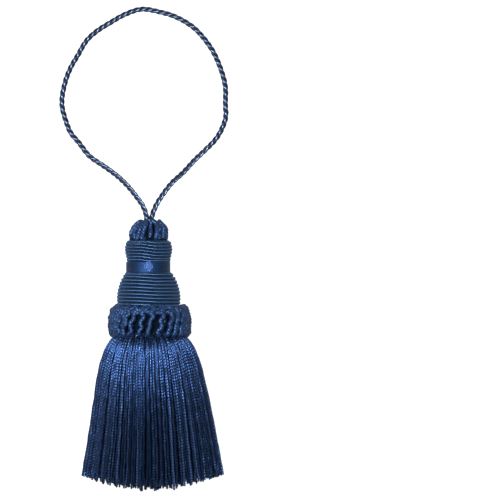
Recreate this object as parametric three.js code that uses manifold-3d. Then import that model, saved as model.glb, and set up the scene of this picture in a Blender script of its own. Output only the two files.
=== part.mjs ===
// Key tassel, lying on its back on a flat surface.
// Millimetres. +Z is up, +Y runs along the tassel towards its hanging loop, +X is to its right.
// The origin is on the surface, under the middle of the tassel without its loop.
import * as THREE from 'three';
import { mergeVertices } from 'three/addons/utils/BufferGeometryUtils.js';
import Module from 'manifold-3d';

const wasm = await Module();
wasm.setup();

const FULL_TURN = 2 * Math.PI;

// Vertices closer than this are one and the same.
const MERGE_DISTANCE = 1e-4;

// Height of the head's axis over the surface. It is a little less than the collar's radius,
// so the collar is pressed flat where it carries the head.
const AXIS_HEIGHT = 14.7;

// Clear gap between two neighbouring pieces.
const GAP = 0.3;

// Hanging loop: a three-ply laid cord, left-handed lay, flat on the surface but for its two legs,
// which leave the head level, one just over the other, and come down under their own weight.
const CORD = { radius: 0.92, grooveRadius: 0.68, plies: 3, pitch: 7.2, stepsPerPitch: 8 };
const CORD_REST = 0.94;

const CORD_ROUTE = [
  { x: -2.3, y: 48.6, z: 15.2 },
  { x: -2.5, y: 51.4, z: 15.1 },
  { x: -3.7, y: 54.8, z: 14.1 },
  { x: -6.2, y: 58.4, z: 12.1 },
  { x: -9.5, y: 62.4, z: 9.4 },
  { x: -13.4, y: 66.1, z: 6.2 },
  { x: -18.0, y: 69.5, z: 3.1 },
  { x: -23.8, y: 73.6, z: 1.2 },
  { x: -27.4, y: 78.2, z: CORD_REST },
  { x: -30.6, y: 82.1, z: CORD_REST },
  { x: -32.2, y: 85.8, z: CORD_REST },
  { x: -33.9, y: 92.8, z: CORD_REST },
  { x: -33.0, y: 99.6, z: CORD_REST },
  { x: -31.0, y: 105.5, z: CORD_REST },
  { x: -27.9, y: 111.0, z: CORD_REST },
  { x: -24.8, y: 116.2, z: CORD_REST },
  { x: -21.2, y: 119.6, z: CORD_REST },
  { x: -15.7, y: 123.1, z: CORD_REST },
  { x: -10.7, y: 125.9, z: CORD_REST },
  { x: -4.5, y: 127.9, z: CORD_REST },
  { x: 1.9, y: 127.0, z: CORD_REST },
  { x: 8.2, y: 125.1, z: CORD_REST },
  { x: 14.4, y: 121.5, z: CORD_REST },
  { x: 18.4, y: 117.5, z: CORD_REST },
  { x: 22.2, y: 112.1, z: CORD_REST },
  { x: 25.4, y: 104.5, z: CORD_REST },
  { x: 26.7, y: 99.1, z: CORD_REST },
  { x: 26.7, y: 92.9, z: CORD_REST },
  { x: 26.8, y: 87.8, z: CORD_REST },
  { x: 25.3, y: 83.4, z: CORD_REST },
  { x: 23.0, y: 79.6, z: CORD_REST },
  { x: 19.3, y: 75.8, z: 1.2 },
  { x: 15.3, y: 72.0, z: 3.1 },
  { x: 11.1, y: 67.4, z: 6.2 },
  { x: 7.0, y: 63.6, z: 9.3 },
  { x: 3.2, y: 58.6, z: 11.8 },
  { x: 1.0, y: 54.9, z: 13.3 },
  { x: -0.3, y: 51.4, z: 14.0 },
  { x: -0.6, y: 48.6, z: 14.1 },
];

// Top ruff: a dome of gathered loops with a dimple, out of which the cord comes.
const RUFF = { x: -1.45, gathers: 7, columnsPerGather: 4, gatherDepth: 0.5, gatherSlant: 0.14 };
const RUFF_PROFILE = [
  { y: 42.6, radius: 7.1 },
  { y: 43.8, radius: 7.4 },
  { y: 45.4, radius: 7.1 },
  { y: 46.9, radius: 6.3 },
  { y: 48.2, radius: 5.2 },
  { y: 49.3, radius: 4.3 },
  { y: 49.8, radius: 3.3 },
  { y: 49.3, radius: 2.8 },
  { y: 48.3, radius: 2.6 },
];

// The two bulbs of the head are closely wound with thread, each turn a rib round the bulb.
const UPPER_BULB = { x: -1.75, turns: 7, ribHeight: 0.32, columns: 28 };
const UPPER_BULB_PROFILE = [
  { y: 42.3, radius: 7.5 },
  { y: 41.0, radius: 8.25 },
  { y: 39.2, radius: 8.7 },
  { y: 37.4, radius: 8.45 },
  { y: 35.8, radius: 8.05 },
  { y: 34.3, radius: 7.75 },
];

const LOWER_BULB = { x: -1.6, turns: 11, ribHeight: 0.32, columns: 30 };
const LOWER_BULB_PROFILE = [
  { y: 30.2, radius: 8.4 },
  { y: 28.4, radius: 9.7 },
  { y: 26.2, radius: 10.7 },
  { y: 23.6, radius: 11.4 },
  { y: 21.0, radius: 11.7 },
  { y: 18.7, radius: 11.5 },
];

// Smooth band round the waist, and the small round knot on its front.
const BAND = { x: -1.8, top: 34.0, bottom: 30.5, radius: 7.85, edgeRound: 0.25, columns: 40 };
const KNOT = {
  x: -1.45,
  y: 32.3,
  halfWidth: 1.6,
  halfLength: 1.85,
  halfHeight: 0.75,
  swell: 0.1,
  lumps: 5,
  columns: 12,
  rows: 8,
};

// Collar: one cord laid up and down round the head into upright ridges that lean over.
const COLLAR = {
  x: -1.2,
  ridges: 26,
  ridgeDepth: 1.1,
  crestShare: 0.4,
  lean: 0.0165,
  pressedHalfAngle: 0.3,
  pressedBlend: 0.16,
};
const COLLAR_OUTSIDE = [
  { y: 18.3, radius: 12.4 },
  { y: 17.3, radius: 13.7 },
  { y: 15.4, radius: 14.7 },
  { y: 13.0, radius: 15.2 },
  { y: 10.6, radius: 15.25 },
  { y: 8.4, radius: 15.0 },
  { y: 6.0, radius: 14.4 },
];
const COLLAR_INSIDE = [
  { y: 5.9, radius: 13.9 },
  { y: 9.0, radius: 12.9 },
  { y: 17.5, radius: 12.9 },
  { y: 17.5, radius: 10.8 },
  { y: 18.3, radius: 10.8 },
];

// Fringe: rings of twisted locks, one inside another, from a round bound root inside the collar
// to a mound whose lowest locks lie level on the surface.
const ROOT = { x: COLLAR.x, radius: 12.6, top: 17.2, bottom: 8.0, columns: 40 };
const FRINGE = {
  rootY: 9.2,
  tipY: -50.2,
  tipArcRise: 4.7,
  tipArcPower: 2.6,
  tipArcReach: 24,
  tipArcMiddle: -2,
  raggedness: 1.2,
  thickness: 0.95,
  fill: 0.78,
  maxWidth: 1.9,
  tipTaper: 0.7,
  layerRise: 1.3,
  wander: 0.12,
};
// Corners of a lock's section: which side along the ring, and how far outward across it.
const FOUR_SIDED = [
  { side: -1, outward: -1 },
  { side: 1, outward: -1 },
  { side: 1, outward: 1 },
  { side: -1, outward: 1 },
];
const THREE_SIDED = [
  { side: -1, outward: -1 },
  { side: 1, outward: -1 },
  { side: 0, outward: 1 },
];
const FRINGE_RINGS = [
  { scale: 1.0, locks: 60, corners: FOUR_SIDED },
  { scale: 0.8, locks: 38, corners: THREE_SIDED },
  { scale: 0.6, locks: 27, corners: THREE_SIDED },
  { scale: 0.4, locks: 17, corners: THREE_SIDED },
  { scale: 0.2, locks: 8, corners: THREE_SIDED },
];
// Outline of the outer ring at stations along the locks: the middle's place, the half width,
// and how far the outline reaches above and below the middle.
const FRINGE_SECTIONS = [
  { along: 0.0, x: ROOT.x, z: AXIS_HEIGHT, halfWidth: 11.9, above: 11.9, below: 11.9 },
  { along: 0.06, x: ROOT.x, z: AXIS_HEIGHT, halfWidth: 12.9, above: 12.9, below: 12.9 },
  { along: 0.125, x: -0.95, z: 14.3, halfWidth: 16.1, above: 15.8, below: 13.8 },
  { along: 0.245, x: -0.85, z: 12.8, halfWidth: 18.4, above: 17.2, below: 14.0 },
  { along: 0.44, x: -0.65, z: 10.2, halfWidth: 20.4, above: 16.8, below: 12.5 },
  { along: 0.69, x: -0.35, z: 7.0, halfWidth: 22.8, above: 15.6, below: 10.5 },
  { along: 1.0, x: 0.0, z: 4.0, halfWidth: 25.5, above: 14.0, below: 9.0 },
];

const FINISHES = {
  cord: { color: 0x3f5d8c, roughness: 0.5 },
  ruff: { color: 0x33497a, roughness: 0.6 },
  winding: { color: 0x3d5580, roughness: 0.5 },
  band: { color: 0x2f4a7c, roughness: 0.35 },
  knot: { color: 0x5f86cf, roughness: 0.45 },
  collar: { color: 0x24375a, roughness: 0.6 },
  fringe: { color: 0x1f3763, roughness: 0.5 },
};

function finishedMesh(name, geometry, finish) {
  const material = new THREE.MeshStandardMaterial({ ...finish, metalness: 0 });
  const mesh = new THREE.Mesh(geometry, material);
  mesh.name = name;
  return mesh;
}

// A repeatable number from 0 to 1 for each lock of each ring, for small differences between them.
// turn asks for another number of the same lock.
function scatter(ringIndex, lock, turn = 0) {
  const value = Math.sin(lock * 12.9898 + ringIndex * 78.233 + turn * 37.719 + 4.1) * 43758.5453;
  return value - Math.floor(value);
}

function geometryFrom(positions, indices) {
  const geometry = new THREE.BufferGeometry();
  geometry.setAttribute('position', new THREE.Float32BufferAttribute(positions, 3));
  geometry.setIndex(indices);
  geometry.computeVertexNormals();
  return geometry;
}

// Closed solid through a row of rings of points, all with the same count, with flat ends.
// The rings run counterclockwise seen from the last ring. leftTwist picks the diagonal of each
// four-sided face that follows a left-handed lay.
function tubeSolid(rings, leftTwist = false) {
  const count = rings[0].length;
  const positions = rings.flat().flatMap((point) => [point.x, point.y, point.z]);
  const indices = [];
  for (let ring = 0; ring < rings.length - 1; ring += 1) {
    for (let side = 0; side < count; side += 1) {
      const next = (side + 1) % count;
      const a = ring * count + side;
      const b = ring * count + next;
      const c = a + count;
      const d = b + count;
      if (leftTwist) {
        indices.push(a, b, d, a, d, c);
      } else {
        indices.push(a, b, c, b, d, c);
      }
    }
  }
  const last = (rings.length - 1) * count;
  for (let side = 1; side < count - 1; side += 1) {
    indices.push(0, side + 1, side);
    indices.push(last, last + side, last + side + 1);
  }
  return geometryFrom(positions, indices);
}

// Closed ring-shaped solid: a closed section of rows, carried round in columns.
function ringSolid(rowCount, columnCount, pointAt) {
  const positions = [];
  const indices = [];
  for (let row = 0; row < rowCount; row += 1) {
    for (let column = 0; column < columnCount; column += 1) {
      const point = pointAt(row, column);
      positions.push(point.x, point.y, point.z);
    }
  }
  for (let row = 0; row < rowCount; row += 1) {
    for (let column = 0; column < columnCount; column += 1) {
      const nextColumn = (column + 1) % columnCount;
      const nextRow = ((row + 1) % rowCount) * columnCount;
      const a = row * columnCount + column;
      const b = row * columnCount + nextColumn;
      const c = nextRow + column;
      const d = nextRow + nextColumn;
      indices.push(a, b, c, b, d, c);
    }
  }
  return geometryFrom(positions, indices);
}

// Point on a circle round the tassel's axis. The angle is 0 at +X and a quarter turn at the top.
function axisPoint(axisX, y, radius, angle) {
  const x = axisX + radius * Math.cos(angle);
  const z = AXIS_HEIGHT + radius * Math.sin(angle);
  return new THREE.Vector3(x, y, z);
}

function radiusAt(profile, y) {
  for (let row = 0; row < profile.length - 1; row += 1) {
    const from = profile[row];
    const to = profile[row + 1];
    const share = (y - from.y) / (to.y - from.y);
    if (share <= 1) {
      return THREE.MathUtils.lerp(from.radius, to.radius, Math.max(share, 0));
    }
  }
  return profile[profile.length - 1].radius;
}

function cordLoop() {
  const route = CORD_ROUTE.map((point) => new THREE.Vector3(point.x, point.y, point.z));
  const curve = new THREE.CatmullRomCurve3(route, false, 'centripetal');
  const length = curve.getLength();
  const steps = Math.round((length / CORD.pitch) * CORD.stepsPerPitch);
  const frames = curve.computeFrenetFrames(steps, false);
  const corners = CORD.plies * 2;
  const rings = [];
  for (let step = 0; step <= steps; step += 1) {
    const middle = curve.getPointAt(step / steps);
    const turned = (-FULL_TURN * step) / CORD.stepsPerPitch;
    const ring = [];
    for (let corner = 0; corner < corners; corner += 1) {
      const angle = turned + (FULL_TURN * corner) / corners;
      const radius = corner % 2 === 0 ? CORD.radius : CORD.grooveRadius;
      const point = middle.clone();
      point.addScaledVector(frames.normals[step], radius * Math.cos(angle));
      point.addScaledVector(frames.binormals[step], radius * Math.sin(angle));
      ring.push(point);
    }
    rings.push(ring);
  }
  return finishedMesh('cord_loop', tubeSolid(rings, true), FINISHES.cord);
}

function topRuff() {
  const columns = RUFF.gathers * RUFF.columnsPerGather;
  const base = RUFF_PROFILE[0];
  const rings = RUFF_PROFILE.map((row, index) => {
    const inDimple = index >= RUFF_PROFILE.length - 2;
    const depth = inDimple ? 0 : RUFF.gatherDepth;
    const slant = RUFF.gatherSlant * (row.y - base.y);
    return Array.from({ length: columns }, (_, column) => {
      const angle = (FULL_TURN * column) / columns;
      const fold = Math.cos(RUFF.gathers * (angle + slant)) * depth;
      return axisPoint(RUFF.x, row.y, row.radius + fold - depth / 2, angle);
    });
  });
  return finishedMesh('top_ruff', tubeSolid(rings.map((ring) => ring.reverse())), FINISHES.ruff);
}

// Bulb of wound thread: each turn has a crest, and a groove to the next turn.
function woundBulb(name, bulb, profile) {
  const top = profile[0].y;
  const bottom = profile[profile.length - 1].y;
  const pitch = (top - bottom) / bulb.turns;
  const outline = [new THREE.Vector2(0, bottom)];
  for (let turn = 0; turn < bulb.turns; turn += 1) {
    const groove = bottom + turn * pitch;
    const crest = groove + pitch / 2;
    outline.push(new THREE.Vector2(radiusAt(profile, groove) - bulb.ribHeight, groove));
    outline.push(new THREE.Vector2(radiusAt(profile, crest), crest));
  }
  outline.push(new THREE.Vector2(radiusAt(profile, top) - bulb.ribHeight, top));
  outline.push(new THREE.Vector2(0, top));
  const mesh = finishedMesh(name, new THREE.LatheGeometry(outline, bulb.columns), FINISHES.winding);
  mesh.position.set(bulb.x, 0, AXIS_HEIGHT);
  return mesh;
}

function neckBand() {
  const edge = BAND.radius - BAND.edgeRound;
  const outline = [
    new THREE.Vector2(0, BAND.bottom),
    new THREE.Vector2(edge, BAND.bottom),
    new THREE.Vector2(BAND.radius, BAND.bottom + BAND.edgeRound),
    new THREE.Vector2(BAND.radius, BAND.top - BAND.edgeRound),
    new THREE.Vector2(edge, BAND.top),
    new THREE.Vector2(0, BAND.top),
  ];
  const mesh = finishedMesh('neck_band', new THREE.LatheGeometry(outline, BAND.columns), FINISHES.band);
  mesh.position.set(BAND.x, 0, AXIS_HEIGHT);
  return mesh;
}

function bandKnot() {
  const geometry = new THREE.SphereGeometry(1, KNOT.columns, KNOT.rows);
  const halfSizes = new THREE.Vector3(KNOT.halfWidth, KNOT.halfLength, KNOT.halfHeight);
  const position = geometry.getAttribute('position');
  const point = new THREE.Vector3();
  for (let index = 0; index < position.count; index += 1) {
    point.fromBufferAttribute(position, index);
    const lump = Math.cos(KNOT.lumps * point.x) * Math.cos(KNOT.lumps * point.y);
    point.multiplyScalar(1 + KNOT.swell * lump).multiply(halfSizes);
    position.setXYZ(index, point.x, point.y, point.z);
  }
  const mesh = finishedMesh('band_knot', geometry, FINISHES.knot);
  const rise = BAND.radius + GAP + KNOT.halfHeight * (1 + KNOT.swell);
  mesh.position.set(KNOT.x, KNOT.y, AXIS_HEIGHT + rise);
  return mesh;
}

// How deep the grooves are at an angle round the collar: 0 where it is pressed flat on the surface,
// and 1 further round.
function grooveShare(angle) {
  const down = -Math.PI / 2;
  const away = Math.abs(Math.atan2(Math.sin(angle - down), Math.cos(angle - down)));
  return THREE.MathUtils.smoothstep(
    away,
    COLLAR.pressedHalfAngle,
    COLLAR.pressedHalfAngle + COLLAR.pressedBlend,
  );
}

function collarRuff() {
  const cornersPerRidge = 3;
  const columns = COLLAR.ridges * cornersPerRidge;
  const ridgeAngle = FULL_TURN / COLLAR.ridges;
  const cornerShares = [0, (1 - COLLAR.crestShare) / 2, (1 + COLLAR.crestShare) / 2];
  const section = [...COLLAR_OUTSIDE, ...COLLAR_INSIDE];
  const middleY = (COLLAR_OUTSIDE[0].y + COLLAR_INSIDE[0].y) / 2;
  const geometry = ringSolid(section.length, columns, (row, column) => {
    const { y, radius } = section[row];
    const ridge = Math.floor(column / cornersPerRidge);
    const corner = column % cornersPerRidge;
    const leaning = -COLLAR.lean * (y - middleY);
    const angle = (ridge + cornerShares[corner]) * ridgeAngle + leaning;
    const isGroove = corner === 0 && row < COLLAR_OUTSIDE.length;
    const depth = isGroove ? COLLAR.ridgeDepth * grooveShare(angle) : 0;
    const point = axisPoint(COLLAR.x, y, radius - depth, angle);
    point.z = Math.max(point.z, 0);
    return point;
  });
  return finishedMesh('collar_ruff', geometry, FINISHES.collar);
}

// Middle line of each lock of a ring, at every station, in the upright plane across the tassel.
function ringMiddles(ring, section) {
  const floor = FRINGE.thickness / 2 + FRINGE.layerRise * FRINGE_RINGS.indexOf(ring);
  return Array.from({ length: ring.locks }, (_, lock) => {
    const angle = (FULL_TURN * (lock + 0.5)) / ring.locks;
    const reach = Math.sin(angle) > 0 ? section.above : section.below;
    const x = section.x + section.halfWidth * ring.scale * Math.cos(angle);
    const z = section.z + reach * ring.scale * Math.sin(angle);
    return new THREE.Vector2(x, Math.max(z, floor));
  });
}

// Where the fringe's curved lower edge is, at a place across the tassel.
function edgePlace(x) {
  const out = Math.abs(x - FRINGE.tipArcMiddle) / FRINGE.tipArcReach;
  return FRINGE.tipY + FRINGE.tipArcRise * out ** FRINGE.tipArcPower;
}

// Section of one lock, wide along its ring and thin across it.
function lockRing(middle, along, y, width, corners) {
  const across = new THREE.Vector2(-along.y, along.x);
  return corners.map(({ side, outward }) => {
    const point = middle.clone();
    point.addScaledVector(along, (side * width) / 2);
    point.addScaledVector(across, (outward * FRINGE.thickness) / 2);
    return new THREE.Vector3(point.x, y, Math.max(point.y, 0));
  });
}

function lockSolid(ring, lock, stations) {
  const tipMiddles = stations[stations.length - 1];
  const ringIndex = FRINGE_RINGS.indexOf(ring);
  const tipY = edgePlace(tipMiddles[lock].x) + FRINGE.raggedness * scatter(ringIndex, lock);
  const rings = FRINGE_SECTIONS.map((section, station) => {
    const middles = stations[station];
    const before = middles[(lock + ring.locks - 1) % ring.locks];
    const after = middles[(lock + 1) % ring.locks];
    const along = before.clone().sub(after).normalize();
    const spacing = before.distanceTo(after) / 2;
    const taper = section.along === 1 ? FRINGE.tipTaper : 1;
    const width = Math.min(spacing * FRINGE.fill, FRINGE.maxWidth) * taper;
    const sway = FRINGE.wander * section.along * (scatter(ringIndex, lock, station) - 0.5);
    const middle = middles[lock].clone().addScaledVector(along, sway);
    const y = THREE.MathUtils.lerp(FRINGE.rootY, tipY, section.along);
    return lockRing(middle, along, y, width, ring.corners);
  });
  return tubeSolid(rings);
}

function toManifold(geometry) {
  const bare = geometry.clone();
  bare.deleteAttribute('normal');
  bare.deleteAttribute('uv');
  const merged = mergeVertices(bare, MERGE_DISTANCE);
  const vertProperties = new Float32Array(merged.getAttribute('position').array);
  const triVerts = new Uint32Array(merged.getIndex().array);
  return new wasm.Manifold(new wasm.Mesh({ numProp: 3, vertProperties, triVerts }));
}

function toGeometry(manifold) {
  const { vertProperties, triVerts } = manifold.getMesh();
  return geometryFrom(Array.from(vertProperties), Array.from(triVerts));
}

function rootSolid() {
  const height = ROOT.top - ROOT.bottom;
  const geometry = new THREE.CylinderGeometry(ROOT.radius, ROOT.radius, height, ROOT.columns);
  geometry.translate(ROOT.x, (ROOT.top + ROOT.bottom) / 2, AXIS_HEIGHT);
  return geometry;
}

function skirt() {
  let solid = toManifold(rootSolid());
  for (const ring of FRINGE_RINGS) {
    const stations = FRINGE_SECTIONS.map((section) => ringMiddles(ring, section));
    for (let lock = 0; lock < ring.locks; lock += 1) {
      solid = solid.add(toManifold(lockSolid(ring, lock, stations)));
    }
  }
  return finishedMesh('skirt', toGeometry(solid), FINISHES.fringe);
}

const tassel = new THREE.Group();
tassel.add(cordLoop());
tassel.add(topRuff());
tassel.add(woundBulb('head_upper', UPPER_BULB, UPPER_BULB_PROFILE));
tassel.add(neckBand());
tassel.add(bandKnot());
tassel.add(woundBulb('head_lower', LOWER_BULB, LOWER_BULB_PROFILE));
tassel.add(collarRuff());
tassel.add(skirt());

export default tassel;
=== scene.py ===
"""Navy key tassel lying on its back on a white table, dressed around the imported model.

Shapes are worked out in millimetres in the model's own frame and turned to metres when a mesh is
made: +Z is up, +Y runs along the tassel towards its hanging loop, and +X is to its right.
"""

import logging
import math
from collections.abc import Callable, Iterator
from dataclasses import dataclass
from enum import Enum

import bpy
import numpy as np
from mathutils import Matrix, Vector


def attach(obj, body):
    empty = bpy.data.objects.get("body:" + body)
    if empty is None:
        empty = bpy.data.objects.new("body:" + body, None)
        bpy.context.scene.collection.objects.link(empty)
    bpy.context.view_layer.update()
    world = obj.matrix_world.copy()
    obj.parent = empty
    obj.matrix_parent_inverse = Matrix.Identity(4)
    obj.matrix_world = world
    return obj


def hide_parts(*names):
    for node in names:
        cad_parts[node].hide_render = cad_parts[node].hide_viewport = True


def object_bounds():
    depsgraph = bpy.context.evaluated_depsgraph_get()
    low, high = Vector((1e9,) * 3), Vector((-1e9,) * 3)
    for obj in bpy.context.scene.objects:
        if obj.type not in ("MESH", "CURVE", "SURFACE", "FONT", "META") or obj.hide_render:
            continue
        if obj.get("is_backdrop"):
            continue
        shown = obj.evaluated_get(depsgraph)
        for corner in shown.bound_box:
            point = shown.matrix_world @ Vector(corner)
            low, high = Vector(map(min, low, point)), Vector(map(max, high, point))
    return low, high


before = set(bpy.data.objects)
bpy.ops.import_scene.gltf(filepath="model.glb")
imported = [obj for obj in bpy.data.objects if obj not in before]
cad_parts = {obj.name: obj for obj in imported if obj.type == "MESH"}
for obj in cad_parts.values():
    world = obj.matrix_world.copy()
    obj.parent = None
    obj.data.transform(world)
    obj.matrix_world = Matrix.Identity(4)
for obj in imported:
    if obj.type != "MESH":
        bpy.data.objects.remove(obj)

Array = np.ndarray
# Rows of a profile as (y, radius), or ridges as (angle, depth)
Pairs = tuple[tuple[float, float], ...]
LOG = logging.getLogger("key_tassel")

MM = 0.001
FULL_TURN = 2.0 * math.pi
BODY = "root"

# Height of the head's axis over the table, and the least height of a yarn's skin over it
AXIS_HEIGHT = 14.7
CLEARANCE = 0.02
UP = np.array([0.0, 0.0, 1.0])

# Points that a curve is worked out at between two knots, before they are laid evenly
CURVE_POINTS = 24

# Name of the UV map along a yarn: x is the share of the way round it, y the millimetres along it
YARN_MAP = "yarn"
# Name of the point attribute that holds how light a yarn is, from 0 to 1: its tone, with painted
# shade on the fringe's inner layers and a painted highlight on some of its ends
SHADE = "shade"

# Millimetres between the fringe yarn's plies along its length. A real one's are some 0.8 mm
# apart, and they are drawn this much coarser to show as the dots that the photograph has.
PLY_SPACING = 1.1
# Two threads side by side wrap the gimp, and how far along it one turn of them takes. Real ones
# are finer, and these are drawn coarse enough to show.
WRAPS = 2
WRAP_PITCH = 2.4


# Lines and frames


def unit(vectors: Array) -> Array:
    """Return the vectors, one a row, at length 1."""
    return vectors / np.linalg.norm(vectors, axis=-1, keepdims=True)


def travelled(line: Array) -> Array:
    """Return how far along the line each of its points is."""
    return np.concatenate([[0.0], np.cumsum(np.linalg.norm(np.diff(line, axis=0), axis=1))])


def evenly(line: Array, step: float) -> Array:
    """Lay points along a line again at even distances.

    Args:
        line: Points of the line, one a row.
        step: About how far apart the new points are.

    Returns:
        The new points, with the same two ends.
    """
    along = travelled(line)
    places = np.linspace(0.0, along[-1], max(3, round(along[-1] / step) + 1))
    return np.stack([np.interp(places, along, line[:, axis]) for axis in range(3)], axis=1)


def smooth_line(knots: Array, step: float) -> Array:
    """Run one centripetal Catmull-Rom curve through the knots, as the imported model's cord does.

    Args:
        knots: Points that the curve passes, one a row.
        step: About how far apart the points of the result are.

    Returns:
        Points along the curve, evenly apart.
    """
    ends = [2.0 * knots[:1] - knots[1:2], knots, 2.0 * knots[-1:] - knots[-2:-1]]
    held = np.concatenate(ends)
    gaps = np.sqrt(np.linalg.norm(np.diff(held, axis=0), axis=1))[:, None]
    slopes = np.diff(held, axis=0) / gaps
    across = (held[2:] - held[:-2]) / (gaps[1:] + gaps[:-1])
    tangent = slopes[:-1] - across + slopes[1:]
    share = np.linspace(0.0, 1.0, CURVE_POINTS, endpoint=False)[:, None]
    parts = []
    for index in range(len(knots) - 1):
        start, end = knots[index], knots[index + 1]
        leave = tangent[index] * gaps[index + 1]
        arrive = tangent[index + 1] * gaps[index + 1]
        bend = 2.0 * start - 2.0 * end + leave + arrive
        sweep = 3.0 * end - 3.0 * start - 2.0 * leave - arrive
        parts.append(start + share * (leave + share * (sweep + share * bend)))
    return evenly(np.concatenate([*parts, knots[-1:]]), step)


def eased(at: Array, stations: Array, values: Array) -> Array:
    """Read a table smoothly between its stations.

    Args:
        at: Where to read it.
        stations: The table's own places, rising.
        values: The table's value at each station.

    Returns:
        The value at each place asked for.
    """
    slope = np.gradient(values, stations)
    index = np.clip(np.searchsorted(stations, at, side="right") - 1, 0, len(stations) - 2)
    width = stations[index + 1] - stations[index]
    share = np.clip((at - stations[index]) / width, 0.0, 1.0)
    rest = 1.0 - share
    start = values[index] * (1.0 + 2.0 * share) * rest**2 + slope[index] * width * share * rest**2
    ahead = values[index + 1] * (3.0 - 2.0 * share) * share**2
    return start + ahead - slope[index + 1] * width * rest * share**2


def smooth_step(value: Array, low: float, high: float) -> Array:
    """Return 0 below low and 1 above high, with a soft rise between."""
    share = np.clip((value - low) / (high - low), 0.0, 1.0)
    return share * share * (3.0 - 2.0 * share)


def carried(line: Array, first: Array) -> Array:
    """Carry a sideways direction along a line without twisting it.

    Args:
        line: Points of the line.
        first: A direction that is not along the line at its start.

    Returns:
        The sideways direction at each point.
    """
    heading = unit(np.gradient(line, axis=0))
    sides = np.empty_like(line)
    side = np.asarray(first, float)
    for index, ahead in enumerate(heading):
        side = side - ahead * side.dot(ahead)
        side = side / np.linalg.norm(side)
        sides[index] = side
    return sides


def axis_points(axis_x: float, y: Array, radius: Array, angle: Array) -> Array:
    """Return points round the tassel's axis.

    Args:
        axis_x: Place of the axis across the tassel.
        y: Places along the axis.
        radius: How far from the axis each point is.
        angle: Angle of each point, 0 at +X and a quarter turn at the top.

    Returns:
        The points, one a row.
    """
    x = axis_x + radius * np.cos(angle)
    z = AXIS_HEIGHT + radius * np.sin(angle)
    return np.stack(np.broadcast_arrays(x, y, z), axis=-1)


def outward(line: Array, axis_x: float, lean: float = 0.0) -> Array:
    """Return the direction from the axis to each point of a line, with some of it along the axis.

    Args:
        line: Points round the axis.
        axis_x: Place of the axis across the tassel.
        lean: How much of the direction lies along the axis, in millimetres.

    Returns:
        The direction at each point.
    """
    out = line - np.array([axis_x, 0.0, AXIS_HEIGHT])
    out[:, 1] = lean
    return out


def profile_radius(profile: Pairs, y: Array) -> Array:
    """Return the radius of a profile, given from its top down, at places along the axis."""
    rows = np.array(profile)[::-1]
    return np.interp(y, rows[:, 0], rows[:, 1])


def drift(
    along: Array, spacing: float, draw: Callable[..., Array], numbers: tuple[float, float]
) -> Array:
    """Return a value that drifts along a yarn.

    Args:
        along: Millimetres along the yarn.
        spacing: How far apart the value is drawn anew.
        draw: What draws it, such as the uniform method of a random source.
        numbers: The two numbers that this takes, such as the least and the greatest value.

    Returns:
        The value at each place.
    """
    places = np.arange(0.0, along[-1] + 2.0 * spacing, spacing)
    return np.interp(along, places, draw(*numbers, len(places)))


def grooved(phase: Array) -> Array:
    """Return 1 on round crowns and -1 in the sharp grooves between them, half a turn apart."""
    return 2.0 * np.abs(np.cos(phase)) - 1.0


def corner_angles(corners: int) -> Array:
    """Return the angle of each corner of a ring, as one row."""
    return np.arange(corners)[None] * FULL_TURN / corners


def tube(
    line: Array, hints: Array, corners: int, radii: Array | float, turned: Array | float = 0.0
) -> Array:
    """Wrap rings of points round a line.

    Args:
        line: Middle of the tube.
        hints: A direction at each point that is not along the line; corner 0 lies that way.
        corners: Points of each ring.
        radii: How far each point is from the middle; it spreads to stations by corners.
        turned: How far each ring is turned, in radians, as a twist's lay needs.

    Returns:
        Points as stations by corners by 3.
    """
    heading = unit(np.gradient(line, axis=0))
    side = unit(hints - heading * np.sum(hints * heading, axis=1, keepdims=True))
    over = np.cross(heading, side)
    shape = (len(line), corners)
    angle = np.broadcast_to(corner_angles(corners) + np.reshape(turned, (-1, 1)), shape)
    reach = np.broadcast_to(radii, shape)
    right = (reach * np.cos(angle))[..., None] * side[:, None]
    upward = (reach * np.sin(angle))[..., None] * over[:, None]
    return line[:, None] + right + upward


def turned_surface(axis_x: float, y: Array, radii: Array, columns: int) -> Array:
    """Turn a profile round the tassel's axis.

    Args:
        axis_x: Place of the axis across the tassel.
        y: Places along the axis.
        radii: Radius at each of them.
        columns: Points of each ring.

    Returns:
        Points as places by columns by 3; each ring starts underneath.
    """
    line = np.stack(np.broadcast_arrays(axis_x, y, AXIS_HEIGHT), axis=1)
    return tube(line, np.tile(-UP, (len(y), 1)), columns, radii[:, None])


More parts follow.
